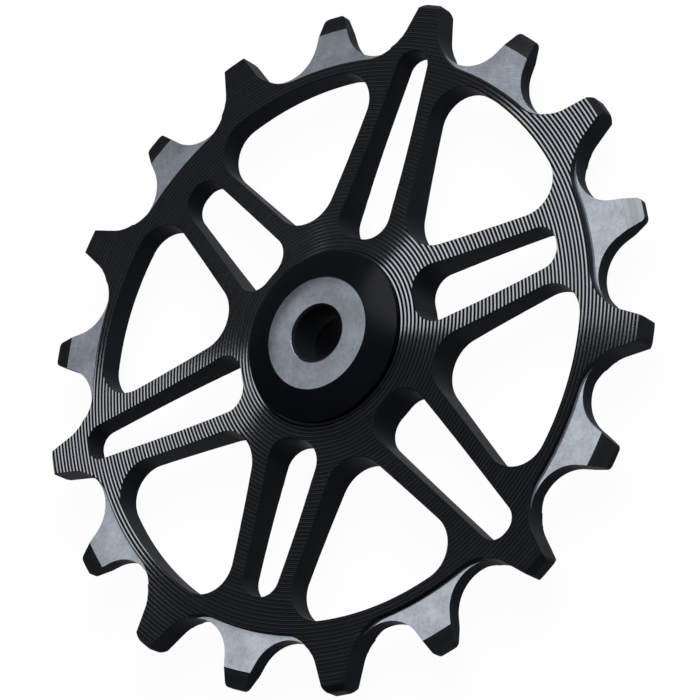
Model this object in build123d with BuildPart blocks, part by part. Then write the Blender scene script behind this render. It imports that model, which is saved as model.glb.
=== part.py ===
"""Narrow-wide derailleur jockey wheel: a spoked toothed wheel on a sealed ball bearing between two end caps.

Millimetres. The origin is the wheel's centre, +Z runs along the axle towards the front cap, and +X points
through a wide tooth.
"""

import os
from math import acos, asin, atan2, cos, degrees, hypot, radians, sin, tan

from build123d import *

os.makedirs("parts", exist_ok=True)

# Driving dimensions

# Chain and tooth pattern: one repeat holds six teeth, two slots and two windows. The rise is how far the centre
# of a roller seat stands outside the pitch circle.
chain_pitch = 12.7
pattern_repeats = 3
roller_seat_radius = 4.49
roller_seat_rise = 0.62

# Teeth: tip heights stand above the pitch circle
tooth_tip_width = 2.44
wide_tip_height = 2.09
wide_tip_bevel_depth = 0.62
wide_tip_bevel_drop = 0.75
narrow_tip_height = 1.95
narrow_tip_bevel_depth = 1.95
narrow_tip_thickness = 0.85
narrow_tooth_thickness = 1.8
pocket_ledge = 0.5
pocket_ledge_shift = 0.83

# Plate: a flat rim, dished up to the hub
plate_thickness = 2.96
flat_rim_width = 10.57
dish_bands = 3
hub_margin = 0.05

# Slots on the tooth axes and windows between them: depths are measured inwards from the pitch circle
slot_hub_wall = 1.71
slot_hub_half_width = 3.48
slot_taper_angle = 4.16
slot_hub_corner_radius = 2.54
slot_end_flat = 0.1
long_slot_depth = 3.48
short_slot_depth = 7.99
spoke_hub_width = 2.04
spoke_narrowing_angle = 0.84
window_depth = 5.65
window_hub_corner_radius = 3.93
window_rim_corner_radius = 3.71

# Bearing
bearing_bore = 8.0
bearing_diameter = 16.0
bearing_width = 5.0
bearing_seat_chamfer = 0.2
ball_count = 9
ball_diameter = 2.0
ball_sides = 10
ball_half_bands = 3
ball_running_gap = 0.02
groove_conformity = 1.05
groove_flats = 8
race_land_offset = 0.65
seal_thickness = 0.6
seal_recess = 0.1
seal_step_depth = 0.63
seal_lip_gap = 0.1
retainer_land_gap = 0.22
retainer_pocket_gap = 0.06
retainer_back_wall = 0.5
retainer_finger_height = 0.5

# End caps
axle_bolt_diameter = 6.0
cap_overall_width = 8.4
cap_flange_diameter = 19.1
cap_flange_edge = 0.5
cap_face_diameter = 12.5
cap_bore_chamfer = 0.3
cap_running_gap = 0.16
cap_shoulder_height = 1.2
spigot_gap = 0.1

# Seats between pieces that don't turn on each other
seat_clearance = 0.01

# Teeth and radii worked out from the chain
tooth_count = 6 * pattern_repeats
tooth_angle = 360 / tooth_count
pitch_radius = chain_pitch / 2 / sin(radians(tooth_angle / 2))
seat_centre_radius = pitch_radius + roller_seat_rise
root_radius = seat_centre_radius - roller_seat_radius
wide_tip_radius = pitch_radius + wide_tip_height
narrow_tip_radius = pitch_radius + narrow_tip_height
tip_half_angle = degrees(asin(tooth_tip_width / 2 / wide_tip_radius))
cutter_overrun = roller_seat_radius / 2

# Levels along the axle
plate_top = plate_thickness / 2
pocket_floor = narrow_tooth_thickness / 2
hub_top = bearing_width / 2
cap_top = cap_overall_width / 2
cut_height = cap_overall_width

# Hub, spokes, slots and windows
bearing_seat_radius = bearing_diameter / 2 + seat_clearance
cap_flange_radius = cap_flange_diameter / 2
hub_radius = cap_flange_radius + hub_margin
dish_radius = pitch_radius - flat_rim_width
slot_count = 2 * pattern_repeats
slot_angle = 360 / slot_count
slot_start_radius = hub_radius + slot_hub_wall
window_outer_radius = pitch_radius - window_depth
spoke_angle = slot_taper_angle + spoke_narrowing_angle
spoke_offset = slot_hub_half_width + spoke_hub_width

# Bearing radii
bearing_bore_radius = bearing_bore / 2
ball_radius = ball_diameter / 2
ball_circle_radius = (bearing_bore + bearing_diameter) / 4
groove_radius = ball_radius * groove_conformity
inner_land_radius = ball_circle_radius - race_land_offset
outer_land_radius = ball_circle_radius + race_land_offset
seal_top = bearing_width / 2 - seal_recess
seal_bottom = seal_top - seal_thickness
seal_step_radius = outer_land_radius + seal_step_depth
cage_speed_ratio = (1 + ball_diameter / (2 * ball_circle_radius)) / 2


def polar(radius, angle):
    """Point at a radius and an angle in degrees."""
    return (radius * cos(radians(angle)), radius * sin(radians(angle)))


def dish_point(band):
    """Point of the dish, in bands counted inwards from the flat rim: it rises with the square of the way in."""
    share = band / dish_bands
    return (dish_radius - share * (dish_radius - hub_radius), plate_top + share**2 * (hub_top - plate_top))


def gullet_outline():
    """Roller seat between two teeth, on the +X axis: an arc with straight flanks tangent to it."""
    corner_x, corner_y = polar(wide_tip_radius, tooth_angle / 2 - tip_half_angle)
    reach = hypot(corner_x - seat_centre_radius, corner_y)
    tangent_angle = atan2(corner_y, corner_x - seat_centre_radius) + acos(roller_seat_radius / reach)
    tangent_x = seat_centre_radius + roller_seat_radius * cos(tangent_angle)
    tangent_y = roller_seat_radius * sin(tangent_angle)
    flank = atan2(corner_y - tangent_y, corner_x - tangent_x)
    outer_x = corner_x + cutter_overrun * cos(flank)
    outer_y = corner_y + cutter_overrun * sin(flank)
    with BuildSketch() as gullet:
        with BuildLine():
            Polyline((tangent_x, tangent_y), (outer_x, outer_y), (outer_x, -outer_y), (tangent_x, -tangent_y))
            ThreePointArc((tangent_x, -tangent_y), (root_radius, 0), (tangent_x, tangent_y))
        make_face()
    return gullet.sketch


def pocket_outline():
    """Milled face of a narrow tooth on the +X axis: a step arc that runs out round both neighbouring seats."""
    end_radius = roller_seat_radius + pocket_ledge
    end_x, end_y = polar(seat_centre_radius, tooth_angle / 2)
    end_x += pocket_ledge_shift * sin(radians(tooth_angle / 2))
    end_y -= pocket_ledge_shift * cos(radians(tooth_angle / 2))
    end_angle = degrees(atan2(end_y, end_x))
    step_radius = hypot(end_x, end_y) - end_radius
    step_x, step_y = polar(step_radius, end_angle)
    bend_x, bend_y = polar(end_radius, end_angle + 135)
    tail_x, tail_y = polar(end_radius, end_angle + 90)
    outer_x, outer_y = polar(wide_tip_radius + cutter_overrun, tooth_angle / 2)
    with BuildSketch() as pocket:
        with BuildLine():
            ThreePointArc((step_x, -step_y), (step_radius, 0), (step_x, step_y))
            ThreePointArc((step_x, step_y), (end_x + bend_x, end_y + bend_y), (end_x + tail_x, end_y + tail_y))
            Polyline((end_x + tail_x, end_y + tail_y), (outer_x, outer_y), (outer_x, -outer_y),
                     (end_x + tail_x, -end_y - tail_y))
            ThreePointArc((end_x + tail_x, -end_y - tail_y), (end_x + bend_x, -end_y - bend_y),
                          (step_x, -step_y))
        make_face()
    return pocket.sketch


def slot_outline(depth):
    """Tapered slot on the +X axis, out to a depth inside the pitch circle and rounded to a short flat there."""
    end_radius = pitch_radius - depth
    taper = tan(radians(slot_taper_angle))
    inner_half = slot_hub_half_width + slot_start_radius * taper
    end_half = inner_half - end_radius * taper
    far_x = end_radius + slot_hub_half_width
    outer_half = inner_half - far_x * taper
    with BuildSketch() as slot:
        Circle(end_radius)
        with BuildLine():
            Polyline((0, inner_half), (far_x, outer_half), (far_x, -outer_half), (0, -inner_half), close=True)
        make_face(mode=Mode.INTERSECT)
        Circle(slot_start_radius, mode=Mode.SUBTRACT)
        fillet(slot.vertices().sort_by_distance((0, 0))[:2], slot_hub_corner_radius)
        fillet(slot.vertices().sort_by_distance((0, 0))[-2:], end_half - slot_end_flat / 2)
    return slot.sketch


def window_outline():
    """Fan-shaped window on the +X axis, bounded by the outer sides of two spokes and an arc under the rim."""
    half_angle = slot_angle / 2
    lean = tan(radians(spoke_angle))
    vertex_x = (spoke_offset + slot_start_radius * lean) / (tan(radians(half_angle)) + lean)
    vertex = vertex_x / cos(radians(half_angle))
    far_x = 2 * window_outer_radius
    far_y = (far_x - vertex) * tan(radians(half_angle + spoke_angle))
    with BuildSketch() as window:
        Circle(window_outer_radius)
        with BuildLine():
            Polyline((vertex, 0), (far_x, far_y), (far_x, -far_y), close=True)
        make_face(mode=Mode.INTERSECT)
        fillet(window.vertices().sort_by_distance((0, 0))[:1], window_hub_corner_radius)
        fillet(window.vertices().sort_by_distance((0, 0))[-2:], window_rim_corner_radius)
    return window.sketch


# Turned section of the wheel, upper half: bearing seat, hub face, dish, flat rim and bevelled tip
with BuildSketch(Plane.XZ) as wheel_section:
    with BuildLine():
        Polyline(
            (wide_tip_radius - wide_tip_bevel_depth, plate_top),
            (wide_tip_radius, plate_top - wide_tip_bevel_drop),
            (wide_tip_radius, 0),
            (bearing_seat_radius, 0),
            (bearing_seat_radius, hub_top - bearing_seat_chamfer),
            (bearing_seat_radius + bearing_seat_chamfer, hub_top),
            *[dish_point(band) for band in range(dish_bands, -1, -1)],
            close=True,
        )
    make_face()
    mirror(about=Plane.XZ)

# Bevel and lower tip of one narrow tooth, turned over the tooth's own sector
with BuildPart() as narrow_tip_cut:
    with BuildSketch(Plane.XZ):
        with BuildLine():
            Polyline(
                (narrow_tip_radius - narrow_tip_bevel_depth, pocket_floor),
                (narrow_tip_radius, narrow_tip_thickness / 2),
                (narrow_tip_radius, -narrow_tip_thickness / 2),
                (narrow_tip_radius - narrow_tip_bevel_depth, -pocket_floor),
                (wide_tip_radius + cutter_overrun, -pocket_floor),
                (wide_tip_radius + cutter_overrun, pocket_floor),
                close=True,
            )
        make_face()
    revolve(axis=Axis.Z, revolution_arc=tooth_angle)

# Toothed wheel: turned, toothed, milled on its narrow teeth, then opened between the spokes
with BuildPart() as toothed_wheel:
    add(wheel_section.sketch)
    revolve(axis=Axis.Z)
    with BuildSketch() as gullets:
        with PolarLocations(0, tooth_count, start_angle=tooth_angle / 2):
            add(gullet_outline())
    extrude(amount=cut_height, both=True, mode=Mode.SUBTRACT)
    for side in (1, -1):
        with BuildSketch(Plane.XY.offset(side * pocket_floor)) as pockets:
            with PolarLocations(0, tooth_count // 2, start_angle=tooth_angle):
                add(pocket_outline())
        extrude(amount=side * cut_height, mode=Mode.SUBTRACT)
    with PolarLocations(0, tooth_count // 2, start_angle=tooth_angle / 2):
        add(narrow_tip_cut.part, mode=Mode.SUBTRACT)
    with BuildSketch() as openings:
        with PolarLocations(0, pattern_repeats):
            add(slot_outline(long_slot_depth))
        with PolarLocations(0, pattern_repeats, start_angle=slot_angle):
            add(slot_outline(short_slot_depth))
        with PolarLocations(0, slot_count, start_angle=slot_angle / 2):
            add(window_outline())
    extrude(amount=cut_height, both=True, mode=Mode.SUBTRACT)
toothed_wheel.part.label = "toothed_wheel"
export_step(toothed_wheel.part, "parts/toothed_wheel.step")

# Section of a ball groove, in flats about the ball, with one flat at the bottom
with BuildSketch() as groove_section:
    RegularPolygon(groove_radius, groove_flats, major_radius=False, rotation=180 / groove_flats)

# Outer race: ball groove in the bore, and a step at each side for the seal
with BuildPart() as bearing_outer_race:
    with BuildSketch(Plane.XZ):
        with Locations(((bearing_diameter / 2 + outer_land_radius) / 2, 0)):
            Rectangle(bearing_diameter / 2 - outer_land_radius, bearing_width)
        with Locations((ball_circle_radius + ball_radius + ball_running_gap - groove_radius, 0)):
            add(groove_section.sketch, mode=Mode.SUBTRACT)
        for side in (1, -1):
            with Locations(((outer_land_radius + seal_step_radius) / 2, side * (hub_top + seal_bottom) / 2)):
                Rectangle(seal_step_radius - outer_land_radius, hub_top - seal_bottom, mode=Mode.SUBTRACT)
    revolve(axis=Axis.Z)
bearing_outer_race.part.label = "bearing_outer_race"
export_step(bearing_outer_race.part, "parts/bearing_outer_race.step")

# Inner race: ball groove round the outside
with BuildPart() as bearing_inner_race:
    with BuildSketch(Plane.XZ):
        with Locations(((bearing_bore_radius + inner_land_radius) / 2, 0)):
            Rectangle(inner_land_radius - bearing_bore_radius, bearing_width)
        with Locations((ball_circle_radius - ball_radius - ball_running_gap + groove_radius, 0)):
            add(groove_section.sketch, mode=Mode.SUBTRACT)
    revolve(axis=Axis.Z)
bearing_inner_race.part.label = "bearing_inner_race"
export_step(bearing_inner_race.part, "parts/bearing_inner_race.step")

# Ceramic balls, each faceted in latitude bands so that the repeated piece stays light
with BuildPart() as ball_form:
    band_angle = radians(90 / (ball_half_bands + 0.5))
    for band in range(ball_half_bands):
        low_radius = ball_radius * cos(band * band_angle)
        high_radius = ball_radius * cos((band + 1) * band_angle)
        low_level = ball_radius * sin(band * band_angle)
        high_level = ball_radius * sin((band + 1) * band_angle)
        inset = (low_radius - high_radius) * cos(radians(180 / ball_sides))
        with BuildSketch(Plane.XY.offset(low_level)):
            RegularPolygon(low_radius, ball_sides)
        extrude(amount=high_level - low_level, taper=degrees(atan2(inset, high_level - low_level)))
    mirror(about=Plane.XY)

for number in range(ball_count):
    with BuildPart() as ball:
        with Locations(polar(ball_circle_radius, 360 / ball_count * number)):
            add(ball_form.part)
    ball.part.label = f"ball_{number + 1}"
    export_step(ball.part, f"parts/ball_{number + 1}.step")

# Comb retainer: a ring behind the balls with fingers between them
with BuildPart() as ball_retainer:
    with BuildSketch(Plane.XZ):
        retainer_inner = inner_land_radius + retainer_land_gap
        retainer_outer = outer_land_radius - retainer_land_gap
        retainer_bottom = -ball_radius - retainer_back_wall
        with Locations(((retainer_inner + retainer_outer) / 2, (retainer_bottom + retainer_finger_height) / 2)):
            Rectangle(retainer_outer - retainer_inner, retainer_finger_height - retainer_bottom)
    revolve(axis=Axis.Z)
    pocket_width = ball_diameter + 2 * retainer_pocket_gap
    with PolarLocations(ball_circle_radius, ball_count):
        Box(ball_diameter, pocket_width, pocket_width, mode=Mode.SUBTRACT)
ball_retainer.part.label = "ball_retainer"
export_step(ball_retainer.part, "parts/ball_retainer.step")

# Rubber seals, each seated on the outer race's step and running clear of the inner race
for name, side in (("front_seal", 1), ("rear_seal", -1)):
    with BuildPart() as seal:
        with BuildSketch(Plane.XZ):
            seal_inner = inner_land_radius + seal_lip_gap
            seal_outer = seal_step_radius - seat_clearance
            with Locations(((seal_inner + seal_outer) / 2, side * (seal_top + seal_bottom) / 2)):
                Rectangle(seal_outer - seal_inner, seal_thickness)
        revolve(axis=Axis.Z)
    seal.part.label = name
    export_step(seal.part, f"parts/{name}.step")

# Front end cap: spigot in the inner race, shoulder against it, and a coned flange that shades the seal
with BuildPart() as front_end_cap:
    bolt_radius = axle_bolt_diameter / 2
    spigot_radius = bearing_bore_radius - seat_clearance
    flange_bottom = hub_top + cap_running_gap
    with BuildSketch(Plane.XZ):
        with BuildLine():
            Polyline(
                (bolt_radius, spigot_gap / 2),
                (bolt_radius, cap_top - cap_bore_chamfer),
                (bolt_radius + cap_bore_chamfer, cap_top),
                (cap_face_diameter / 2, cap_top),
                (cap_flange_radius, flange_bottom + cap_flange_edge),
                (cap_flange_radius, flange_bottom),
                (bearing_bore_radius + cap_shoulder_height, flange_bottom),
                (bearing_bore_radius + cap_shoulder_height, hub_top),
                (spigot_radius, hub_top),
                (spigot_radius, spigot_gap / 2),
                close=True,
            )
        make_face()
    revolve(axis=Axis.Z)
front_end_cap.part.label = "front_end_cap"
export_step(front_end_cap.part, "parts/front_end_cap.step")

# Rear end cap: the same turning, facing the other way
with BuildPart() as rear_end_cap:
    add(mirror(front_end_cap.part, about=Plane.XY, mode=Mode.PRIVATE))
rear_end_cap.part.label = "rear_end_cap"
export_step(rear_end_cap.part, "parts/rear_end_cap.step")

print("pitch radius", round(pitch_radius, 3), "cage speed ratio", round(cage_speed_ratio, 4))
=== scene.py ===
"""Looks of a narrow-wide derailleur jockey wheel, laid out as an add-on and run as a script.

Metres, in the frame of the solids: the origin is the wheel's centre, +Z runs along the axle towards the
front cap, and +X points through a wide tooth.
"""

import math

import bpy
import numpy as np
from bpy.props import FloatProperty, FloatVectorProperty, IntProperty, PointerProperty
from mathutils import Matrix, Vector
from mathutils.geometry import delaunay_2d_cdt


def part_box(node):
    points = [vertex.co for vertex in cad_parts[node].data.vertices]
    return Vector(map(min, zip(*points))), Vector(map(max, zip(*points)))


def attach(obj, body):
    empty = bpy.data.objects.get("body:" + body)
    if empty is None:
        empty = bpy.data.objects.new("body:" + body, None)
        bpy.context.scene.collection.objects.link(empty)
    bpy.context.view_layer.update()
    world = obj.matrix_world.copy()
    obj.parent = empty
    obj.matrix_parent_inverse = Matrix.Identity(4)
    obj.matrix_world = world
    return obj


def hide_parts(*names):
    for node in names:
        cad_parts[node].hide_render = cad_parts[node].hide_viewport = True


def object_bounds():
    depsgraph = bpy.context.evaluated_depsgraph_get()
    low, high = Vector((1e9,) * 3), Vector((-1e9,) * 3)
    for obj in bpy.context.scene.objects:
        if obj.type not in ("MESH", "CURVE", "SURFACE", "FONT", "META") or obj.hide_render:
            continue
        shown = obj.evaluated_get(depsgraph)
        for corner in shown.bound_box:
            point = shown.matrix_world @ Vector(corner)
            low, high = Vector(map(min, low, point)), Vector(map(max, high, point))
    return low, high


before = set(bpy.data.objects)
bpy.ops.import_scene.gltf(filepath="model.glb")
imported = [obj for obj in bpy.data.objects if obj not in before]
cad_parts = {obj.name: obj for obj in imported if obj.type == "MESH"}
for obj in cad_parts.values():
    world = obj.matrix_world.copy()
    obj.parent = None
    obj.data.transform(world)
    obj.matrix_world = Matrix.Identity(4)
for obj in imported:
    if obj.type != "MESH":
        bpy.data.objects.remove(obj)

bl_info = {
    "name": "Derailleur jockey wheel",
    "version": (1, 0, 0),
    "blender": (4, 5, 0),
    "location": "3D View > Sidebar > Jockey wheel",
    "description": "Builds the turned wheel, its bearing, its end caps and a studio stage around them",
    "category": "Add Mesh",
}

MM = 0.001
CAD_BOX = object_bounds()
FLOOR_GAP = 0.05 * MM
FLOOR_LEVEL = CAD_BOX[0].z - FLOOR_GAP
FLOOR_HALF = 20.0
SENSOR_MM = 36
CLIP_NEAR, CLIP_FAR = 0.01, 100
FULL_TURN = 2 * math.pi
QUARTER_TURN = math.pi / 2
BALL_NAMES = sorted(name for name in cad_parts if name.startswith("ball_") and name[-1].isdigit())


# Properties


def number(label, description, default, **kind):
    """A property for one number."""
    return FloatProperty(name=label, description=description, default=default, **kind)


def length(label, description, millimetres):
    """A length, with its default given in millimetres."""
    return number(label, description, millimetres * MM, unit="LENGTH", precision=5)


def angle(label, description, degrees):
    """An angle, with its default given in degrees."""
    return number(label, description, math.radians(degrees), unit="ROTATION")


def share(label, description, default):
    """A number between 0 and 1."""
    return number(label, description, default, subtype="FACTOR", min=0, max=1)


def power(label, description, watts):
    """A lamp's power."""
    return number(label, description, watts, unit="POWER", precision=4)


def colour(label, description, rgb):
    """A colour, in linear values."""
    texts = {"name": label, "description": description}
    return FloatVectorProperty(**texts, default=rgb, subtype="COLOR", min=0, max=1)


class WheelSizes(bpy.types.PropertyGroup):
    """Sizes of the toothed wheel."""

    teeth: IntProperty(name="Teeth", description="Number of teeth, wide and narrow in turn", default=18)
    chain_pitch: length("Chain pitch", "Distance between two chain rollers", 12.7)
    seat_radius: length("Roller seat radius", "Radius of the seat between two teeth", 4.49)
    seat_rise: length("Roller seat rise", "Height of a seat's centre above the pitch circle", 0.62)
    tip_width: length("Tip width", "Width of a tooth at its tip", 2.44)
    tip_rounding: length("Tip rounding", "Radius of the corners of each tooth's tip", 0.6)
    wide_tip: length("Wide tip height", "Height of a wide tip above the pitch circle", 2.09)
    wide_bevel: length("Wide tip bevel", "Depth of a wide tip's bevel", 0.62)
    wide_drop: length("Wide bevel drop", "How far a wide tip's bevel falls", 0.75)
    narrow_tip: length("Narrow tip height", "Height of a narrow tip above the pitch circle", 1.95)
    narrow_bevel: length("Narrow tip bevel", "Depth of a narrow tip's bevel", 1.95)
    narrow_edge: length("Narrow tip edge", "Thickness left at a narrow tip", 0.85)
    narrow_web: length("Narrow tooth thickness", "Thickness between the two milled floors", 1.8)
    ledge: length("Pocket ledge", "How far a pocket's end arc is wider than a roller seat", 0.5)
    ledge_shift: length("Pocket ledge shift", "How far a pocket's end arc stands towards its tooth", 0.83)
    edge_break: length("Edge break", "Bevel along the plate's edges", 0.05)
    step_break: length("Step break", "Bevel along the plate's edge above a pocket", 0.15)
    plate: length("Plate thickness", "Thickness of the rim and the wide teeth", 2.96)
    flat_rim: length("Flat rim", "Depth of the flat rim inside the pitch circle", 10.57)
    hub_radius: length("Hub radius", "Radius where the dish begins", 9.6)
    hub_width: length("Hub width", "Width of the hub along the axle", 5.0)
    bore_radius: length("Bearing seat radius", "Radius of the bearing's seat", 8.01)
    bore_chamfer: length("Seat chamfer", "Chamfer at each end of the bearing's seat", 0.2)
    slot_start: length("Slot start", "Radius of the slots' hub end", 11.31)
    slot_half_width: length("Slot half width", "Half the slots' width at the hub end", 3.48)
    slot_taper: angle("Slot taper", "How far each side of a slot leans in", 4.16)
    slot_hub_rounding: length("Slot hub rounding", "Radius of the slots' hub corners", 2.54)
    slot_flat: length("Slot flat", "Flat left between the roundings at a slot's end", 0.1)
    long_slot: length("Long slot depth", "Depth of the long slots inside the pitch circle", 3.48)
    short_slot: length("Short slot depth", "Depth of the short slots inside the pitch circle", 7.99)
    spoke_width: length("Spoke width", "Width of a spoke at the hub", 2.04)
    spoke_narrowing: angle("Spoke narrowing", "How far a spoke's two sides close towards the rim", 0.84)
    window_depth: length("Window depth", "Depth of the windows inside the pitch circle", 5.65)
    window_hub_rounding: length("Window hub rounding", "Radius of a window's hub corner", 3.93)
    window_rim_rounding: length("Window rim rounding", "Radius of a window's rim corners", 3.71)
    groove_pitch: length("Groove pitch", "Distance between two turned grooves", 0.44)
    groove_depth: length("Groove depth", "Depth of a turned groove", 0.11)
    outline_step: length("Outline step", "Spacing of points along the outlines", 0.16)
    ring_step: length("Ring step", "Spacing of the dish's rings and of their points", 0.8)


class BearingSizes(bpy.types.PropertyGroup):
    """Sizes of the bearing."""

    bore: length("Bore", "Bore of the inner race", 8.0)
    diameter: length("Diameter", "Outside of the outer race", 16.0)
    width: length("Width", "Width of both races", 5.0)
    ball: length("Ball diameter", "Diameter of a ball", 2.0)
    running_gap: length("Running gap", "Gap between a ball and a groove", 0.02)
    groove_radius: length("Groove radius", "Radius of a race's groove", 1.05)
    land_offset: length("Land offset", "Distance of each land from the ball circle", 0.65)
    seal_step: length("Seal step", "Depth of the step that holds a seal", 0.63)
    seal_level: length("Seal level", "Level of the seal's inner face", 1.8)
    edge: length("Edge rounding", "Rounding of the races' edges", 0.12)


class CapSizes(bpy.types.PropertyGroup):
    """Sizes of an end cap."""

    bolt: length("Bolt bore", "Bore for the bolt", 6.0)
    top: length("End face level", "Level of the end face", 4.2)
    flange: length("Flange diameter", "Diameter of the coned flange", 19.1)
    flange_edge: length("Flange edge", "Height of the flange's edge", 0.5)
    face: length("End face diameter", "Outside of the bare end face", 12.5)
    chamfer: length("Bore chamfer", "Chamfer at the bore's mouth", 0.3)
    running_gap: length("Running gap", "Gap between the flange and the hub", 0.16)
    shoulder: length("Shoulder height", "Height of the shoulder above the spigot", 1.2)
    clearance: length("Seat clearance", "Clearance of the spigot in the inner race", 0.01)
    spigot_gap: length("Spigot gap", "Gap between the two caps' spigots", 0.1)
    edge: length("Edge rounding", "Rounding of the cap's edges", 0.07)


class Finishes(bpy.types.PropertyGroup):
    """Colours of the pieces."""

    turned: colour("Turned black", "Reflection of the anodised turned faces", (0.066, 0.07, 0.0752))
    milled: colour("Milled black", "Colour of the anodised milled walls", (0.0092, 0.0112, 0.0132))
    bare: colour("Bare aluminium", "Colour of the milled floors and the end faces", (0.39, 0.423, 0.478))
    cap: colour("Cap black", "Colour of the caps' gloss", (0.0035, 0.004, 0.005))
    steel: colour("Bearing steel", "Colour of the races", (0.55, 0.55, 0.56))
    ceramic: colour("Ceramic", "Colour of the balls", (0.035, 0.036, 0.04))
    nylon: colour("Nylon", "Colour of the ball retainer", (0.62, 0.58, 0.47))
    rubber: colour("Rubber", "Colour of the seals", (0.02, 0.02, 0.021))


class StageSettings(bpy.types.PropertyGroup):
    """Camera, lamps and floor."""

    aim: FloatVectorProperty(
        name="Aim",
        description="Point that the camera looks at",
        default=(-0.414 * MM, -1.733 * MM, 0),
        subtype="XYZ",
        unit="LENGTH",
        precision=6,
    )
    distance: length("Distance", "Distance of the camera from its aim", 386.38)
    azimuth: angle("Azimuth", "Direction of the camera round the axle, from +X", -103.809)
    elevation: angle("Elevation", "Height of the camera above the wheel's plane", 51.21)
    roll: angle("Roll", "Turn of the picture about the camera's axis", -62.745)
    lens: number("Lens", "Focal length", 185.714, unit="CAMERA")
    lamp_distance: length("Lamp distance", "Distance of both lamps", 500)
    key_azimuth: angle("Key azimuth", "Direction of the key lamp round the axle", -10.5)
    key_elevation: angle("Key elevation", "Height of the key lamp", 45)
    key_size: length("Key size", "Diameter of the key lamp", 485)
    key_power: power("Key power", "Power of the key lamp", 4.05)
    fill_azimuth: angle("Fill azimuth", "Direction of the fill lamp round the axle", 83)
    fill_elevation: angle("Fill elevation", "Height of the fill lamp", 61.2)
    fill_size: length("Fill size", "Diameter of the fill lamp", 270)
    fill_power: power("Fill power", "Power of the fill lamp", 0.178)
    sky: share("Sky", "Strength of the light from all round", 0.09)
    sky_colour: colour("Sky colour", "Colour of the light from all round", (0.9, 0.95, 1.0))
    floor_white: share("Floor white", "Share of plain white in the floor", 0.965)
    floor: colour("Floor", "Colour of the floor", (0.9, 0.9, 0.9))


# Outlines


def polar(radius, turn):
    """Points at radii and angles: radius times cosine and sine."""
    return np.stack([radius * np.cos(turn), radius * np.sin(turn)], -1)


def turned(points, turn):
    """Points of the plane turned about the axle."""
    c, s = math.cos(turn), math.sin(turn)
    return points @ np.array([[c, s], [-s, c]])


def flipped(points):
    """Points mirrored across the X axis, in the same order."""
    return points * np.array([1, -1])


def arc(centre, radius, start, end, step):
    """Points along an arc about a centre, evenly spaced by angle, a step apart."""
    count = max(2, math.ceil(abs(end - start) * radius / step) + 1)
    return np.asarray(centre) + polar(radius, np.linspace(start, end, count))


def heading(vector):
    """Angle of a vector of the plane."""
    return math.atan2(vector[1], vector[0])


def rounding_centre(along, side, offset, radius, reach):
    """Centre of a rounding: inside a straight side by its own radius, and at its reach from the axle."""
    inset = offset - radius
    return inset * polar(1, along + side * QUARTER_TURN) + math.sqrt(reach**2 - inset**2) * polar(1, along)


def reflected_ends(line, first_axis, last_axis):
    """A line with a point more at each end: its next point's mirror image across the end's axis."""
    before = turned(flipped(turned(line[1:2], -first_axis)), first_axis)
    after = turned(flipped(turned(line[-2:-1], -last_axis)), last_axis)
    return np.concatenate([before, line, after])


def shifted(line, distance):
    """A line's inner points moved to its left by a distance, square to the way between their neighbours."""
    along = line[2:] - line[:-2]
    left = np.stack([-along[:, 1], along[:, 0]], -1) / np.hypot(*along.T)[:, None]
    return line[1:-1] + distance * left


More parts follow.
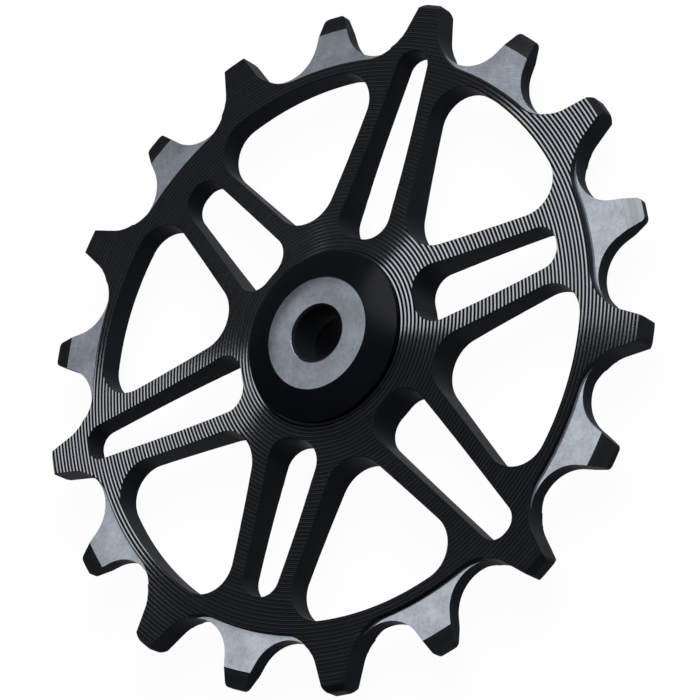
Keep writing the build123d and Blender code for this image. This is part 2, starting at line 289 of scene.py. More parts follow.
class WheelPlan:
    """Radii, levels and outlines of the toothed wheel, worked out from its sizes."""

    def __init__(self, sizes):
        self.sizes = sizes
        self.tooth_turn = FULL_TURN / sizes.teeth
        self.slot_turn = 3 * self.tooth_turn
        self.pitch_radius = sizes.chain_pitch / 2 / math.sin(self.tooth_turn / 2)
        self.wide_radius = self.pitch_radius + sizes.wide_tip
        self.narrow_radius = self.pitch_radius + sizes.narrow_tip
        self.seat_centre = self.pitch_radius + sizes.seat_rise
        self.wide_bevel_start = self.wide_radius - sizes.wide_bevel
        self.narrow_bevel_start = self.narrow_radius - sizes.narrow_bevel
        self.dish_radius = self.pitch_radius - sizes.flat_rim
        self.plate_top = sizes.plate / 2
        self.hub_top = sizes.hub_width / 2
        self.floor_level = sizes.narrow_web / 2

    def gullet_half(self, tip_radius):
        """From a root on the X axis to the next tooth's axis: seat, flank, tip rounding and tip arc."""
        s = self.sizes
        tip_turn = self.tooth_turn / 2 - math.asin(s.tip_width / 2 / self.wide_radius)
        corner = polar(self.wide_radius, tip_turn) - [self.seat_centre, 0]
        touch_turn = heading(corner) + math.acos(s.seat_radius / math.hypot(*corner))
        touch = polar(s.seat_radius, touch_turn)
        flank = heading(corner - touch)
        offset = (touch + [self.seat_centre, 0]) @ polar(1, flank - QUARTER_TURN)
        centre = rounding_centre(flank, -1, offset, s.tip_rounding, tip_radius - s.tip_rounding)
        fine_step = s.outline_step / 3
        return np.concatenate([
            arc((self.seat_centre, 0), s.seat_radius, math.pi, touch_turn, s.outline_step),
            arc(centre, s.tip_rounding, flank - QUARTER_TURN, heading(centre), fine_step),
            arc((0, 0), tip_radius, heading(centre), self.tooth_turn / 2, s.outline_step)[1:],
        ])

    def gullet(self, lower_radius, upper_radius):
        """Outline from one tooth's axis to the next across the seat on the X axis."""
        lower = flipped(self.gullet_half(lower_radius))[::-1]
        return np.concatenate([lower, self.gullet_half(upper_radius)[1:]])

    def pocket(self):
        """Closed outline of a narrow tooth's milled face: a step arc, run out round both roller seats."""
        s = self.sizes
        half = self.tooth_turn / 2
        end = polar(self.seat_centre, half) + s.ledge_shift * np.array([math.sin(half), -math.cos(half)])
        radius = s.seat_radius + s.ledge
        turn = heading(end)
        upper = np.concatenate([
            arc((0, 0), math.hypot(*end) - radius, 0, turn, s.outline_step),
            arc(end, radius, turn + math.pi, turn + QUARTER_TURN, s.outline_step)[1:],
            [polar(self.wide_radius + s.seat_radius, half)],
        ])
        return np.concatenate([flipped(upper)[:0:-1], upper])

    def pockets(self):
        """Outlines of the two pockets that reach into one wedge."""
        return [turned(self.pocket(), turn) for turn in (self.tooth_turn, self.slot_turn)]

    def slot_half(self, depth):
        """One side of a slot on the X axis, hub to rim: hub arc, rounding, side, rounding and end arc."""
        s = self.sizes
        end = self.pitch_radius - depth
        at_axle = s.slot_half_width + s.slot_start * math.tan(s.slot_taper)
        radius = at_axle - end * math.tan(s.slot_taper) - s.slot_flat / 2
        offset = at_axle * math.cos(s.slot_taper)
        reach = s.slot_start + s.slot_hub_rounding
        hub = rounding_centre(-s.slot_taper, 1, offset, s.slot_hub_rounding, reach)
        rim = rounding_centre(-s.slot_taper, 1, offset, radius, end - radius)
        normal = QUARTER_TURN - s.slot_taper
        return np.concatenate([
            arc((0, 0), s.slot_start, 0, heading(hub), s.outline_step),
            arc(hub, s.slot_hub_rounding, heading(hub) + math.pi, normal, s.outline_step)[1:],
            arc(rim, radius, normal, heading(rim), s.outline_step),
            arc((0, 0), end, heading(rim), 0, s.outline_step)[1:],
        ])

    def window(self):
        """Closed outline of a wedge's window: hub rounding, straight sides, rim roundings and rim arc."""
        s = self.sizes
        half = self.slot_turn / 2
        lean = s.slot_taper + s.spoke_narrowing
        spoke = s.slot_half_width + s.spoke_width + s.slot_start * math.tan(lean)
        vertex = spoke / (math.tan(half) + math.tan(lean)) / math.cos(half)
        along = half + lean
        normal = along + QUARTER_TURN
        end = self.pitch_radius - s.window_depth
        hub = (vertex + s.window_hub_rounding / math.sin(along), 0)
        offset = -vertex * math.sin(along)
        rim = rounding_centre(along, 1, offset, s.window_rim_rounding, end - s.window_rim_rounding)
        upper = np.concatenate([
            arc(hub, s.window_hub_rounding, math.pi, normal, s.outline_step),
            arc(rim, s.window_rim_rounding, normal, heading(rim), s.outline_step),
            arc((0, 0), end, heading(rim), 0, s.outline_step)[1:],
        ])
        return turned(np.concatenate([upper, flipped(upper)[-2:0:-1]]), half)

    def edges(self):
        """Edges from a long slot's axis to a short slot's axis: the two slots' sides and three gullets.

        Each has the metal on its left, and comes with the axes that it starts and ends on."""
        s = self.sizes
        wide, narrow, tooth = self.wide_radius, self.narrow_radius, self.tooth_turn
        short = turned(flipped(self.slot_half(s.short_slot)), self.slot_turn)[::-1]
        rim = [(wide, narrow), (narrow, wide), (wide, narrow)]
        gullets = [turned(self.gullet(*pair), (place + 0.5) * tooth) for place, pair in enumerate(rim)]
        return [
            (self.slot_half(s.long_slot), 0, 0),
            *[(line, place * tooth, (place + 1) * tooth) for place, line in enumerate(gullets)],
            (short, self.slot_turn, self.slot_turn),
        ]

    def wedge(self):
        """Closed outline of the metal from a long slot's axis to a short slot's axis, three teeth round."""
        s = self.sizes
        long_slot, first, *others, short_slot = [line for line, _, _ in self.edges()]
        bore = arc((0, 0), s.bore_radius, self.slot_turn, 0, s.outline_step)
        return np.concatenate([long_slot, first, *[line[1:] for line in others], short_slot, bore])

    def break_lines(self):
        """Lines where edge breaks begin: inside a wedge's edges, above its pockets, round its window."""
        depth = self.sizes.edge_break
        window = self.window()
        return [
            *[shifted(reflected_ends(*edge), depth) for edge in self.edges()],
            *[shifted(pocket, self.sizes.step_break) for pocket in self.pockets()],
            shifted(np.concatenate([window[-1:], window, window[:1]]), depth),
        ]

    def rings(self):
        """Arcs across the wedge that shape the dish, and arcs where the section bends."""
        s = self.sizes
        dish = np.arange(s.hub_radius, self.dish_radius, s.ring_step)
        chamfer_end = s.bore_radius + s.bore_chamfer
        bends = [chamfer_end, self.dish_radius, self.narrow_bevel_start, self.wide_bevel_start]
        return [arc((0, 0), radius, 0, self.slot_turn, s.ring_step) for radius in (*dish, *bends)]

    def plate_level(self, radius):
        """Height of the turned face: chamfer, flat hub, dish, flat rim and bevel.

        The dish rises with the square of the way in from the flat rim."""
        s = self.sizes
        dish = np.clip((self.dish_radius - radius) / (self.dish_radius - s.hub_radius), 0, 1)
        bevel = np.clip(radius - self.wide_bevel_start, 0, None) / s.wide_bevel
        chamfer = np.clip(s.bore_radius + s.bore_chamfer - radius, 0, None)
        rise = (self.hub_top - self.plate_top) * dish**2
        return self.plate_top + rise - bevel * s.wide_drop - chamfer

    def pocket_level(self, radius):
        """Height of a narrow tooth's milled face: a flat floor, then a bevel down to the tip's edge."""
        s = self.sizes
        bevel = np.clip(radius - self.narrow_bevel_start, 0, None) / s.narrow_bevel
        return self.floor_level - bevel * (self.floor_level - s.narrow_edge / 2)


def inside(outline, points):
    """Whether each point lies inside a closed outline: a line from it crosses an odd number of its sides."""
    x, y = points[:, :1], points[:, 1:]
    x0, y0 = outline.T
    x1, y1 = np.roll(outline, -1, 0).T
    spans = (y0 > y) != (y1 > y)
    rise = np.where(y1 == y0, 1, y1 - y0)
    return (spans & (x < x0 + (x1 - x0) * (y - y0) / rise)).sum(1) % 2 == 1


def wedge_triangles(plan):
    """Triangles of one wedge, held to its outlines, edge breaks and rings.

    Returns points of the plane, each triangle's corners, and whether it lies in a pocket."""
    whole_hull, merging_mm = 0, 1e-4
    wedge, window, pockets = plan.wedge(), plan.window(), plan.pockets()
    *open_breaks, window_break = plan.break_lines()
    loops = [wedge, *pockets, window, window_break]
    lines = loops + open_breaks + plan.rings()
    starts = np.cumsum([0, *map(len, lines)])
    edges = []
    for place, line in enumerate(lines):
        ids = np.arange(len(line)) + starts[place]
        pairs = np.stack([ids, np.roll(ids, -1)], -1)
        edges += (pairs if place < len(loops) else pairs[:-1]).tolist()
    points = [Vector(p) for p in (np.concatenate(lines) / MM).tolist()]
    places, _, faces, *_ = delaunay_2d_cdt(points, edges, [], whole_hull, merging_mm, False)
    plane = np.array([tuple(p) for p in places]) * MM
    corners = np.array(faces)
    first, second, third = (plane[corners[:, i]] for i in range(3))
    area = np.cross(second - first, third - first)
    corners[area < 0] = corners[area < 0][:, ::-1]
    middle = (first + second + third) / 3
    metal = inside(wedge, middle) & ~inside(window, middle)
    pocket = inside(pockets[0], middle) | inside(pockets[1], middle)
    return plane, corners[metal], pocket[metal]


def merged(points, corners, digits):
    """The points that corners use, with those at one place joined, and the corners renumbered."""
    used = np.round(points[corners.ravel()] / MM, digits)
    kept, ids = np.unique(used, axis=0, return_inverse=True)
    return kept * MM, ids.reshape(corners.shape)


def whole_sheet(plan):
    """The wedge, its mirror image across the X axis, and both turned to fill the circle."""
    plane, corners, pocket = wedge_triangles(plan)
    sector = np.concatenate([plane, flipped(plane)])
    sector_corners = np.concatenate([corners, corners[:, ::-1] + len(plane)])
    repeats = round(FULL_TURN / (2 * plan.slot_turn))
    copies = [turned(sector, 2 * plan.slot_turn * n) for n in range(repeats)]
    copied = [sector_corners + len(sector) * n for n in range(repeats)]
    points, triangles = merged(np.concatenate(copies), np.concatenate(copied), digits=4)
    return points, triangles, np.tile(pocket, 2 * repeats)


def quads(*corners):
    """Two triangles for each four corners, given in order round the face."""
    a, b, c, d = corners
    return np.concatenate([np.stack([a, b, c], -1), np.stack([a, c, d], -1)])


def wheel_surface(plan):
    """Closed surface of the wheel: the sheet lifted to both faces' levels, with walls between.

    A wall stands on every edge that only one triangle has, and a step on every edge between the plate and
    a pocket. The plate is lowered there, by the edge break or the step break. A wall of the plate has a row
    of points at the floors' level, or just below a tip's bevel.
    Returns points, triangles and each triangle's finish: turned, milled or bare."""
    turned_finish, milled_finish, bare_finish = range(3)
    above_floor, below_bevel = 1.1, 0.8
    plane, corners, pocket = whole_sheet(plan)
    count = len(plane)
    sides = np.concatenate([corners[:, [0, 1]], corners[:, [1, 2]], corners[:, [2, 0]]])
    side_pocket = np.tile(pocket, 3)
    keys = sides[:, 0] * count + sides[:, 1]
    back_keys = sides[:, 1] * count + sides[:, 0]
    order = np.argsort(keys)
    place = np.clip(np.searchsorted(keys[order], back_keys), 0, len(keys) - 1)
    match = order[place]
    paired = keys[match] == back_keys
    rim_plate = sides[~paired & ~side_pocket].T
    rim_pocket = sides[~paired & side_pocket].T
    step = sides[paired & ~side_pocket & side_pocket[match]].T

    radius = np.hypot(*plane.T)
    drop = np.zeros(count)
    drop[step.ravel()] = plan.sizes.step_break
    drop[sides[~paired].ravel()] = plan.sizes.edge_break
    plate = plan.plate_level(radius) - drop
    floor = plan.pocket_level(radius)
    level = np.where(plate > above_floor * plan.floor_level, plan.floor_level, below_bevel * plate)
    heights = [plate, floor, level, -level, -floor, -plate]
    points = np.concatenate([np.column_stack([plane, h]) for h in heights])
    top_plate, top_floor, top_wall, low_wall, low_floor, low_plate = (count * n for n in range(6))

    def wall(ends, upper, lower):
        return quads(ends[0] + upper, ends[0] + lower, ends[1] + lower, ends[1] + upper)

    faces = [
        corners + np.where(pocket, top_floor, top_plate)[:, None],
        corners[:, ::-1] + np.where(pocket, low_floor, low_plate)[:, None],
    ]
    walls = [
        wall(rim_plate, top_plate, top_wall),
        wall(rim_plate, top_wall, low_wall),
        wall(rim_plate, low_wall, low_plate),
        wall(rim_pocket, top_floor, low_floor),
        wall(step, top_plate, top_floor),
        wall(step, low_floor, low_plate),
    ]
    middle = np.hypot(*plane[corners].mean(1).T)
    broken = (drop[corners] > 0).any(1)
    milled = ~pocket & (broken | (middle > plan.wide_bevel_start))
    bare = pocket & (middle < plan.narrow_bevel_start)
    face_finish = np.select([milled, bare], [milled_finish, bare_finish], turned_finish)
    wall_finish = np.full(sum(map(len, walls)), milled_finish)
    finish = np.concatenate([face_finish, face_finish, wall_finish])
    points, triangles = merged(points, np.concatenate(faces + walls), digits=5)
    return points, triangles, finish


def eased(profile, radius, steps=4, longest=0.45):
    """A closed profile with each corner eased by a parabola that leaves its two sides a radius away.

    On a short side it leaves no further away than the longest share of that side."""
    before = np.roll(profile, 1, 0) - profile
    after = np.roll(profile, -1, 0) - profile
    spans = [np.hypot(*side.T)[:, None] for side in (before, after)]
    first, last = (np.minimum(radius, longest * span) / span for span in spans)
    start = profile + before * first
    end = profile + after * last
    t = np.linspace(0, 1, steps)[None, :, None]
    curve = (1 - t) ** 2 * start[:, None] + 2 * t * (1 - t) * profile[:, None] + t**2 * end[:, None]
    return curve.reshape(-1, 2)


def swept(radius, level, turn):
    """Grid of points at radii, levels and angles about the axle."""
    return np.stack(np.broadcast_arrays(radius * np.cos(turn), radius * np.sin(turn), level), -1)


def lathe(profile, count=160):
    """Surface of a closed counterclockwise profile of radius and level, turned about the axle."""
    turn = np.arange(count)[:, None] * FULL_TURN / count
    grid = swept(*profile.T, turn)
    ids = np.arange(grid.shape[0] * grid.shape[1]).reshape(grid.shape[:2])
    onward, beside = np.roll(ids, -1, 0), np.roll(ids, -1, 1)
    both = np.roll(onward, -1, 1)
    return grid.reshape(-1, 3), quads(ids.ravel(), onward.ravel(), both.ravel(), beside.ravel())


def ball_surface(centre, radius, count=32, rows=17):
    """Sphere about a centre: rows of latitude from pole to pole, the poles joined to one point each."""
    latitude = np.linspace(-QUARTER_TURN, QUARTER_TURN, rows)[:, None]
    turn = np.arange(count) * FULL_TURN / count
    grid = swept(radius * np.cos(latitude), radius * np.sin(latitude), turn)
    ids = np.arange(rows * count).reshape(rows, count)
    low, high = ids[:-1], ids[1:]
    corners = quads(low.ravel(), np.roll(low, -1, 1).ravel(), np.roll(high, -1, 1).ravel(), high.ravel())
    points, corners = merged(grid.reshape(-1, 3), corners, digits=6)
    whole = (corners != np.roll(corners, 1, 1)).all(1)
    return points + np.asarray(centre), corners[whole]


def cap_profile(caps, bearing, side):
    """Closed section of an end cap: bore, chamfered mouth, end face, cone, flange, shoulder and spigot."""
    hub_top = bearing.width / 2
    under = hub_top + caps.running_gap
    shoulder = bearing.bore / 2 + caps.shoulder
    spigot = bearing.bore / 2 - caps.clearance
    bolt = caps.bolt / 2
    section = np.array([
        (bolt, caps.spigot_gap / 2),
        (spigot, caps.spigot_gap / 2),
        (spigot, hub_top),
        (shoulder, hub_top),
        (shoulder, under),
        (caps.flange / 2, under),
        (caps.flange / 2, under + caps.flange_edge),
        (caps.face / 2, caps.top),
        (bolt + caps.chamfer, caps.top),
        (bolt, caps.top - caps.chamfer),
    ])
    return eased(section, caps.edge) if side > 0 else flipped(eased(section, caps.edge))[::-1]


def race_groove(sizes, side, steps=12):
    """A race's ball groove: an arc from its lower land to its upper one, with steps to a radius."""
    circle = (sizes.bore + sizes.diameter) / 4
    centre = circle + side * (sizes.ball / 2 + sizes.running_gap - sizes.groove_radius)
    land = circle + side * sizes.land_offset
    half = math.acos(side * (land - centre) / sizes.groove_radius)
    middle = 0 if side > 0 else math.pi
    step = sizes.groove_radius / steps
    return arc((centre, 0), sizes.groove_radius, middle - side * half, middle + side * half, step)


def inner_race_profile(sizes):
    """Closed section of the inner race: a plain bore, two flat ends and a groove round the outside."""
    half = sizes.width / 2
    land = (sizes.bore + sizes.diameter) / 4 - sizes.land_offset
    bore = sizes.bore / 2
    corners = np.array([(bore, -half), (land, -half), (land, half), (bore, half)])
    lower, upper = np.split(eased(corners, sizes.edge), 2)
    return np.concatenate([lower, race_groove(sizes, -1), upper])


def outer_race_profile(sizes):
    """Closed section of the outer race: a groove in the bore, a step for each seal and a plain outside."""
    half = sizes.width / 2
    land = (sizes.bore + sizes.diameter) / 4 + sizes.land_offset
    step = land + sizes.seal_step
    outer = sizes.diameter / 2
    lower = [(land, -sizes.seal_level), (step, -sizes.seal_level), (step, -half), (outer, -half)]
    upper = [(outer, half), (step, half), (step, sizes.seal_level), (land, sizes.seal_level)]
    return np.concatenate([lower, upper, race_groove(sizes, 1)[::-1]])


# Finishes


class Wire:
    """A shader socket that Python's operators work on: an expression adds its Math nodes."""

    def __init__(self, finish, socket):
        self.finish = finish
        self.socket = socket

    def maths(self, operation, first, second):
        """A Math node on two values."""
        return self.finish.node("ShaderNodeMath", {"operation": operation}, {0: first, 1: second})

    def __add__(self, other):
        return self.maths("ADD", self, other)

    def __radd__(self, other):
        return self.maths("ADD", other, self)

    def __sub__(self, other):
        return self.maths("SUBTRACT", self, other)

    def __rsub__(self, other):
        return self.maths("SUBTRACT", other, self)

    def __mul__(self, other):
        return self.maths("MULTIPLY", self, other)

    def __rmul__(self, other):
        return self.maths("MULTIPLY", other, self)

    def __truediv__(self, other):
        return self.maths("DIVIDE", self, other)

    def __pow__(self, other):
        return self.maths("POWER", self, other)

    def clip(self, low=0.0, high=1.0):
        """The value held between two limits."""
        return self.finish.node("ShaderNodeClamp", {}, {"Value": self, "Min": low, "Max": high})

    def nearest(self):
        """The whole number nearest to the value."""
        return self.maths("ROUND", self, 0)

    def size(self):
        """The value without its sign."""
        return self.maths("ABSOLUTE", self, 0)


class Finish:
    """A new material's nodes, or a given world's, with one method that adds any node."""

    NOISE_ROUGHNESS = 0.55

    def __init__(self, name, owner=None):
        self.owner = owner or bpy.data.materials.new(name)
        self.owner.use_nodes = True
        self.tree = self.owner.node_tree
        self.tree.nodes.clear()

    def node(self, kind, settings=None, inputs=None, output=0):
        """Adds a node: its settings first, then its sockets' values or links."""
        made = self.tree.nodes.new(kind)
        for key, value in (settings or {}).items():
            setattr(made, key, value)
        for key, value in (inputs or {}).items():
            if isinstance(value, Wire):
                self.tree.links.new(value.socket, made.inputs[key])
            else:
                made.inputs[key].default_value = value
        return Wire(self, made.outputs[output]) if made.outputs else made

    def place(self):
        """Object coordinates."""
        return self.node("ShaderNodeTexCoord", output="Object")

    def split(self, vector):
        """X, Y and Z of a vector."""
        made = self.node("ShaderNodeSeparateXYZ", {}, {0: vector}).socket.node
        return [Wire(self, socket) for socket in made.outputs]

    def radius(self):
        """Distance from the axle: the root of x squared plus y squared."""
        x, y, _ = self.split(self.place())
        return (x * x + y * y) ** 0.5

    def noise(self, size, detail=3.0, vector=None):
        """Cloudy noise with features of a size in metres."""
        sockets = {
            "Vector": vector or self.place(),
            "Scale": 1 / size,
            "Detail": detail,
            "Roughness": self.NOISE_ROUGHNESS,
        }
        return self.node("ShaderNodeTexNoise", {"noise_dimensions": "3D"}, sockets)

    def stretched(self, scale):
        """Object coordinates stretched along the axes."""
        return self.node("ShaderNodeMapping", {}, {"Vector": self.place(), "Scale": scale})

    def mix(self, factor, first, second):
        """A colour between two, through the places of the Mix node's colour sockets."""
        factor_at, first_at, second_at, result_at = 0, 6, 7, 2
        sockets = {factor_at: factor, first_at: first, second_at: second}
        return self.node("ShaderNodeMix", {"data_type": "RGBA"}, sockets, result_at)

    def tones(self, factor, rgb, darkest, lightest):
        """One colour between its darkest and its lightest tone, given as gains."""
        return self.mix(factor.clip(), opaque(rgb, darkest), opaque(rgb, lightest))

    def bump(self, height, depth, **sockets):
        """A normal from heights between 0 and 1, scaled to a depth in metres."""
        return self.node("ShaderNodeBump", {}, {"Height": height, "Distance": depth, **sockets})

    def vector(self, operation, first, second=(0, 0, 0)):
        """A Vector Math node."""
        return self.node("ShaderNodeVectorMath", {"operation": operation}, {0: first, 1: second})

    def leaning(self, slope):
        """The surface's normal leaned away from the axle: normal plus slope times the way outwards."""
        outward = self.vector("NORMALIZE", self.vector("MULTIPLY", self.place(), (1, 1, 0)))
        space = {"vector_type": "VECTOR", "convert_from": "OBJECT", "convert_to": "WORLD"}
        carried = self.node("ShaderNodeVectorTransform", space, {0: outward})
        lean = self.node("ShaderNodeVectorMath", {"operation": "SCALE"}, {0: carried, "Scale": slope})
        plain = self.node("ShaderNodeNewGeometry", output="Normal")
        return self.vector("NORMALIZE", self.vector("ADD", plain, lean))

    def surface(self, **sockets):
        """A Principled surface as the material's output, with its sockets set by name."""
        named = {}
        for key, value in sockets.items():
            named[key.replace("_", " ").title().replace("Ior", "IOR")] = value
        shader = self.node("ShaderNodeBsdfPrincipled", {}, named)
        self.node("ShaderNodeOutputMaterial", {}, {"Surface": shader})
        return self.owner


def opaque(rgb, gain=1.0):
    """A colour with full alpha, brightened or darkened by a gain."""
    return (*(gain * part for part in rgb), 1.0)


def turned_black(colours, sizes):
    """Black anodising over turned grooves: a dark metal gloss on V-shaped rings, with painted shade in their
    bottoms.

    Offsets across a ring run from -0.5 to 0.5 of the pitch, with its ridge at 0. The normal leans by the
    groove's slope on each side of the ridge. The rings fade out at the level of the narrow teeth."""
    groove_shade_start, groove_shade_blend, ridge_blend, fade = 0.4, 20, 10, 0.1 * MM
    f = Finish("turned_black")
    _, _, z = f.split(f.place())
    phase = (f.radius() - sizes.hub_radius) / sizes.groove_pitch
    offset = phase - phase.nearest()
    face = ((z.size() - sizes.narrow_web / 2) / fade).clip()
    lot = f.node("ShaderNodeTexWhiteNoise", {"noise_dimensions": "1D"}, {"W": phase.nearest()})
    cloud = f.noise(4 * MM, 4)
    grain = f.noise(0.25 * MM, 2)
    ridge = f.tones(lot * 0.35 + cloud * 0.5 + 0.1, colours.turned, 0.72, 1.28)
    # Painted shade: towards each groove's bottom the colour turns matt black and the metal gloss goes, in
    # place of the shade that falls in the groove.
    painted_groove_shade = ((offset.size() - groove_shade_start) * groove_shade_blend).clip() * face
    slope = 2 * sizes.groove_depth / sizes.groove_pitch
    lean = (offset * ridge_blend).clip(-1, 1) * (face * slope)
    return f.surface(
        base_color=f.mix(painted_groove_shade, ridge, opaque(colours.milled, 1.2)),
        metallic=(0.92 + face * 0.06) * (1 - painted_groove_shade),
        roughness=0.12 + grain * 0.04 + cloud * 0.04,
        specular_ior_level=0.02,
        normal=f.leaning(lean),
    )


def milled_black(colours):
    """Black anodising over milled walls: a deep matt black with faint cutter marks along the walls."""
    f = Finish("milled_black")
    marks = f.noise(0.9 * MM, vector=f.stretched((0.12, 0.12, 1.0)))
    cloud = f.noise(3 * MM, 4)
    return f.surface(
        base_color=f.tones(cloud, colours.milled, 0.75, 1.3),
        roughness=0.36 + marks * 0.12 + cloud * 0.08,
        specular_ior_level=0.012,
        specular_tint=(0.75, 0.9, 1.0, 1.0),
        normal=f.bump(marks, 0.006 * MM),
    )


def bare_aluminium(colours, name, gain, dome):
    """Bare machined aluminium: a mottled grey satin with specks and fine scratches.

    The gain brightens or darkens it, and the dome leans its normal outwards."""
    f = Finish(name)
    cloud = f.noise(2.8 * MM, 4)
    speck = f.noise(0.4 * MM)
    scratch = f.noise(0.12 * MM, vector=f.stretched((1.0, 0.06, 1.0)))
    mottle = cloud * 1.7 + speck - 0.85
    return f.surface(
        base_color=f.tones(mottle, colours.bare, 0.72 * gain, 1.26 * gain),
        metallic=0.75,
        roughness=0.1 + cloud * 0.06 + scratch * 0.03,
        specular_ior_level=0.1,
        normal=f.bump(scratch * 0.3 + cloud * 0.7, 0.006 * MM, Normal=f.leaning(dome)),
    )


def gloss_black(colours):
    """Gloss black anodising over a finely turned cap, with thin rings."""
    f = Finish("gloss_black")
    rings = f.noise(0.06 * MM, 2, vector=f.node("ShaderNodeCombineXYZ", {}, {0: f.radius()}))
    cloud = f.noise(3 * MM)
    return f.surface(
        base_color=f.tones(cloud, colours.cap, 0.8, 1.25),
        roughness=0.13 + rings * 0.08 + cloud * 0.05,
        specular_ior_level=0.035,
        normal=f.bump(rings, 0.0025 * MM),
    )


def ground_steel(colours):
    """Ground bearing steel: bright, with fine rings from the wheel."""
    f = Finish("ground_steel")
    _, _, z = f.split(f.place())
    rings = f.noise(0.08 * MM, 2, vector=f.node("ShaderNodeCombineXYZ", {}, {0: f.radius(), 2: z}))
    return f.surface(
        base_color=f.tones(rings, colours.steel, 0.85, 1.1),
        metallic=1.0,
        roughness=0.2 + rings * 0.14,
        normal=f.bump(rings, 0.002 * MM),
    )


def polished_ceramic(colours):
    """Polished ceramic: a dark glassy grey with a faint cloud."""
    f = Finish("polished_ceramic")
    cloud = f.noise(0.6 * MM)
    tone = f.tones(cloud, colours.ceramic, 0.8, 1.3)
    return f.surface(base_color=tone, roughness=0.06 + cloud * 0.06, specular_ior_level=0.6)


def moulded_nylon(colours):
    """Moulded nylon: a pale satin with a fine grain."""
    f = Finish("moulded_nylon")
    grain = f.noise(0.2 * MM)
    tone = f.tones(grain, colours.nylon, 0.85, 1.08)
    return f.surface(base_color=tone, roughness=0.45 + grain * 0.15, normal=f.bump(grain, 0.01 * MM))


def seal_rubber(colours):
    """Moulded rubber: a dark matt skin with a fine grain."""
    f = Finish("seal_rubber")
    grain = f.noise(0.15 * MM)
    tone = f.tones(grain, colours.rubber, 0.8, 1.3)
    return f.surface(base_color=tone, roughness=0.6 + grain * 0.2, normal=f.bump(grain, 0.01 * MM))


# Pieces


def new_piece(name, points, corners, materials, finish=None, sharp=25):
    """A mesh object from points and triangles, smooth but for edges sharper than an angle in degrees."""
    mesh = bpy.data.meshes.new(name)
    mesh.vertices.add(len(points))
    mesh.vertices.foreach_set("co", np.asarray(points, np.float32).ravel())
    mesh.loops.add(3 * len(corners))
    mesh.loops.foreach_set("vertex_index", np.asarray(corners, np.int32).ravel())
    mesh.polygons.add(len(corners))
    mesh.polygons.foreach_set("loop_start", np.arange(0, 3 * len(corners), 3, dtype=np.int32))
    for material in materials:
        mesh.materials.append(material)
    if finish is not None:
        mesh.polygons.foreach_set("material_index", np.asarray(finish, np.int32))
    mesh.update(calc_edges=True)
    if mesh.validate():
        raise RuntimeError(f"the mesh of {name} has faults")
    mesh.shade_smooth()
    mesh.set_sharp_from_angle(angle=math.radians(sharp))
    piece = bpy.data.objects.new(name, mesh)
    bpy.context.scene.collection.objects.link(piece)
    return piece


def dress_node(name, material):
    """Gives a solid that stays in view a procedural finish."""
    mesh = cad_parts[name].data
    mesh.materials.clear()
    mesh.materials.append(material)


class JOCKEY_OT_toothed_wheel(bpy.types.Operator):
    """Build the toothed wheel with its turned grooves and milled teeth"""

    bl_idname = "jockey.toothed_wheel"
    bl_label = "Toothed wheel"

    def execute(self, context):
        sizes, colours = context.scene.jockey_wheel, context.scene.jockey_finishes
        points, corners, finish = wheel_surface(WheelPlan(sizes))
        bare = bare_aluminium(colours, "milled_aluminium", gain=1.0, dome=0.0)
        materials = [turned_black(colours, sizes), milled_black(colours), bare]
        piece = new_piece("spoked_wheel", points, corners, materials, finish, sharp=12)
        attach(piece, "wheel")
        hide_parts("toothed_wheel")
        return {"FINISHED"}


class JOCKEY_OT_end_caps(bpy.types.Operator):
    """Build the two coned end caps"""

    bl_idname = "jockey.end_caps"
    bl_label = "End caps"

    def execute(self, context):
        caps, bearing = context.scene.jockey_caps, context.scene.jockey_bearing
        colours = context.scene.jockey_finishes
        # Painted shade: the end faces get a copy of the bare aluminium darkened to about half by its gain,
        # so that they look darker than the milled floors.
        bare = bare_aluminium(colours, "faced_aluminium", gain=0.52, dome=0.03)
        milled = bpy.data.materials.get("milled_black") or milled_black(colours)
        materials = [gloss_black(colours), bare, milled]
        gloss_finish, bare_finish, milled_finish = range(3)
        face_level = caps.top - caps.edge / 4
        flange_level = bearing.width / 2 + caps.running_gap + caps.edge
        for side, node in ((1, "front_end_cap"), (-1, "rear_end_cap")):
            points, corners = lathe(cap_profile(caps, bearing, side))
            middle = points[corners].mean(1)
            level, radius = np.abs(middle[:, 2]), np.hypot(*middle[:, :2].T)
            end_face = (level > face_level) & (radius < caps.face / 2)
            cone = (level > flange_level) & (radius > caps.face / 2 - caps.edge)
            finish = np.select([end_face, cone], [bare_finish, gloss_finish], milled_finish)
            piece = new_piece(node.replace("end_cap", "coned_cap"), points, corners, materials, finish)
            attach(piece, "axle")
            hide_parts(node)
        return {"FINISHED"}


class JOCKEY_OT_bearing(bpy.types.Operator):
    """Build the bearing's races and balls, and finish its retainer and seals"""

    bl_idname = "jockey.bearing"
    bl_label = "Bearing"

    def execute(self, context):
        sizes, colours = context.scene.jockey_bearing, context.scene.jockey_finishes
        steel = ground_steel(colours)
        races = (("inner", inner_race_profile, "axle"), ("outer", outer_race_profile, "wheel"))
        for name, profile, body in races:
            piece = new_piece(f"{name}_race", *lathe(profile(sizes)), [steel])
            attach(piece, body)
            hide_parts(f"bearing_{name}_race")
        ceramic = polished_ceramic(colours)
        for name in BALL_NAMES:
            low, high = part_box(name)
            piece = new_piece(f"ceramic_{name}", *ball_surface((low + high) / 2, sizes.ball / 2), [ceramic])
            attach(piece, "ball_cage")
            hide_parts(name)
        dress_node("ball_retainer", moulded_nylon(colours))
        rubber = seal_rubber(colours)
        dress_node("front_seal", rubber)
        dress_node("rear_seal", rubber)
        return {"FINISHED"}


# Stage


def on_sphere(azimuth, elevation):
    """Unit vector at an azimuth from +X and an elevation above the wheel's plane."""
    level = math.cos(elevation)
    return Vector((level * math.cos(azimuth), level * math.sin(azimuth), math.sin(elevation)))


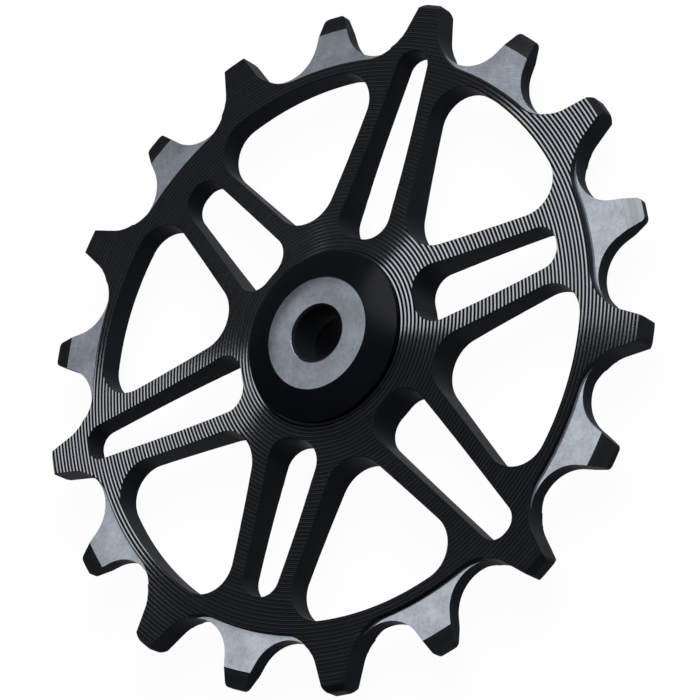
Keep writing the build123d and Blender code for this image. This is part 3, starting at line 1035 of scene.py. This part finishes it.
def floor_finish(stage):
    """A matt floor that the camera, gloss and glass see mostly as plain white, with a light shadow left."""
    f = Finish("studio_floor")
    rays = ("Is Camera Ray", "Is Glossy Ray", "Is Transmission Ray")
    camera, gloss, glass = (f.node("ShaderNodeLightPath", output=ray) for ray in rays)
    seen = (camera + gloss + glass).clip() * stage.floor_white
    matt = f.node("ShaderNodeBsdfDiffuse", {}, {"Color": opaque(stage.floor)})
    white = f.node("ShaderNodeEmission", {}, {"Color": opaque((1, 1, 1)), "Strength": 1.0})
    mixed = f.node("ShaderNodeMixShader", {}, {0: seen, 1: matt, 2: white})
    f.node("ShaderNodeOutputMaterial", {}, {"Surface": mixed})
    return f.owner


def studio_world(stage):
    """A plain room: dim light from every direction above the floor."""
    f = Finish("studio", bpy.data.worlds.new("studio"))
    light = f.node("ShaderNodeBackground", {}, {"Color": opaque(stage.sky_colour), "Strength": stage.sky})
    f.node("ShaderNodeOutputWorld", {}, {"Surface": light})
    return f.owner


def lay_floor(stage):
    """A wide plain square just under the object."""
    square = [(-1, -1), (1, -1), (1, 1), (-1, 1)]
    points = [(FLOOR_HALF * x, FLOOR_HALF * y, FLOOR_LEVEL) for x, y in square]
    floor = new_piece("studio_floor", points, [(0, 1, 2), (0, 2, 3)], [floor_finish(stage)])


def hang_lamp(scene, stage, part):
    """A round softbox that faces the object, with the settings of its part in the light."""
    lamp = bpy.data.lights.new(f"{part}_softbox", "AREA")
    lamp.shape = "DISK"
    lamp.size = getattr(stage, f"{part}_size")
    lamp.energy = getattr(stage, f"{part}_power")
    softbox = bpy.data.objects.new(lamp.name, lamp)
    toward = on_sphere(getattr(stage, f"{part}_azimuth"), getattr(stage, f"{part}_elevation"))
    softbox.location = toward * stage.lamp_distance
    softbox.rotation_euler = toward.to_track_quat("Z", "Y").to_euler()
    scene.collection.objects.link(softbox)


def set_camera(scene, stage):
    """The camera at its distance and direction from its aim, rolled about its own axis."""
    camera = bpy.data.cameras.new("photo_camera")
    camera.lens = stage.lens
    camera.sensor_width = SENSOR_MM
    camera.clip_start, camera.clip_end = CLIP_NEAR, CLIP_FAR
    eye = bpy.data.objects.new("photo_camera", camera)
    back = on_sphere(stage.azimuth, stage.elevation)
    turn = back.to_track_quat("Z", "Y").to_matrix() @ Matrix.Rotation(stage.roll, 3, "Z")
    eye.matrix_world = Matrix.Translation(Vector(stage.aim) + back * stage.distance) @ turn.to_4x4()
    scene.collection.objects.link(eye)
    scene.camera = eye


class JOCKEY_OT_stage(bpy.types.Operator):
    """Lay the floor, hang the lamps and set the camera"""

    bl_idname = "jockey.stage"
    bl_label = "Stage"

    def execute(self, context):
        scene, stage = context.scene, context.scene.jockey_stage
        scene.view_settings.view_transform = "Standard"
        scene.world = studio_world(stage)
        lay_floor(stage)
        hang_lamp(scene, stage, "key")
        hang_lamp(scene, stage, "fill")
        set_camera(scene, stage)
        return {"FINISHED"}


# Add-on


class JOCKEY_PT_sidebar(bpy.types.Panel):
    """Lists the builders in the 3D view's sidebar"""

    bl_idname = "JOCKEY_PT_sidebar"
    bl_label = "Jockey wheel"
    bl_space_type = "VIEW_3D"
    bl_region_type = "UI"
    bl_category = "Jockey wheel"

    def draw(self, context):
        for builder in BUILDERS:
            self.layout.operator(builder.bl_idname)
        for pointer in SETTINGS:
            group = getattr(context.scene, pointer)
            for name in group.__annotations__:
                self.layout.prop(group, name)


SETTINGS = {
    "jockey_wheel": WheelSizes,
    "jockey_bearing": BearingSizes,
    "jockey_caps": CapSizes,
    "jockey_finishes": Finishes,
    "jockey_stage": StageSettings,
}
BUILDERS = (JOCKEY_OT_toothed_wheel, JOCKEY_OT_end_caps, JOCKEY_OT_bearing, JOCKEY_OT_stage)
CLASSES = (*SETTINGS.values(), *BUILDERS, JOCKEY_PT_sidebar)


def register():
    """Registers the classes and hangs the settings on the scene."""
    for cls in CLASSES:
        bpy.utils.register_class(cls)
    for pointer, group in SETTINGS.items():
        setattr(bpy.types.Scene, pointer, PointerProperty(type=group))


def unregister():
    """Takes the settings off the scene and unregisters the classes."""
    for pointer in SETTINGS:
        delattr(bpy.types.Scene, pointer)
    for cls in reversed(CLASSES):
        bpy.utils.unregister_class(cls)


def main():
    """Builds every piece and the stage."""
    register()
    bpy.ops.jockey.toothed_wheel()
    bpy.ops.jockey.end_caps()
    bpy.ops.jockey.bearing()
    bpy.ops.jockey.stage()


if __name__ == "__main__":
    main()
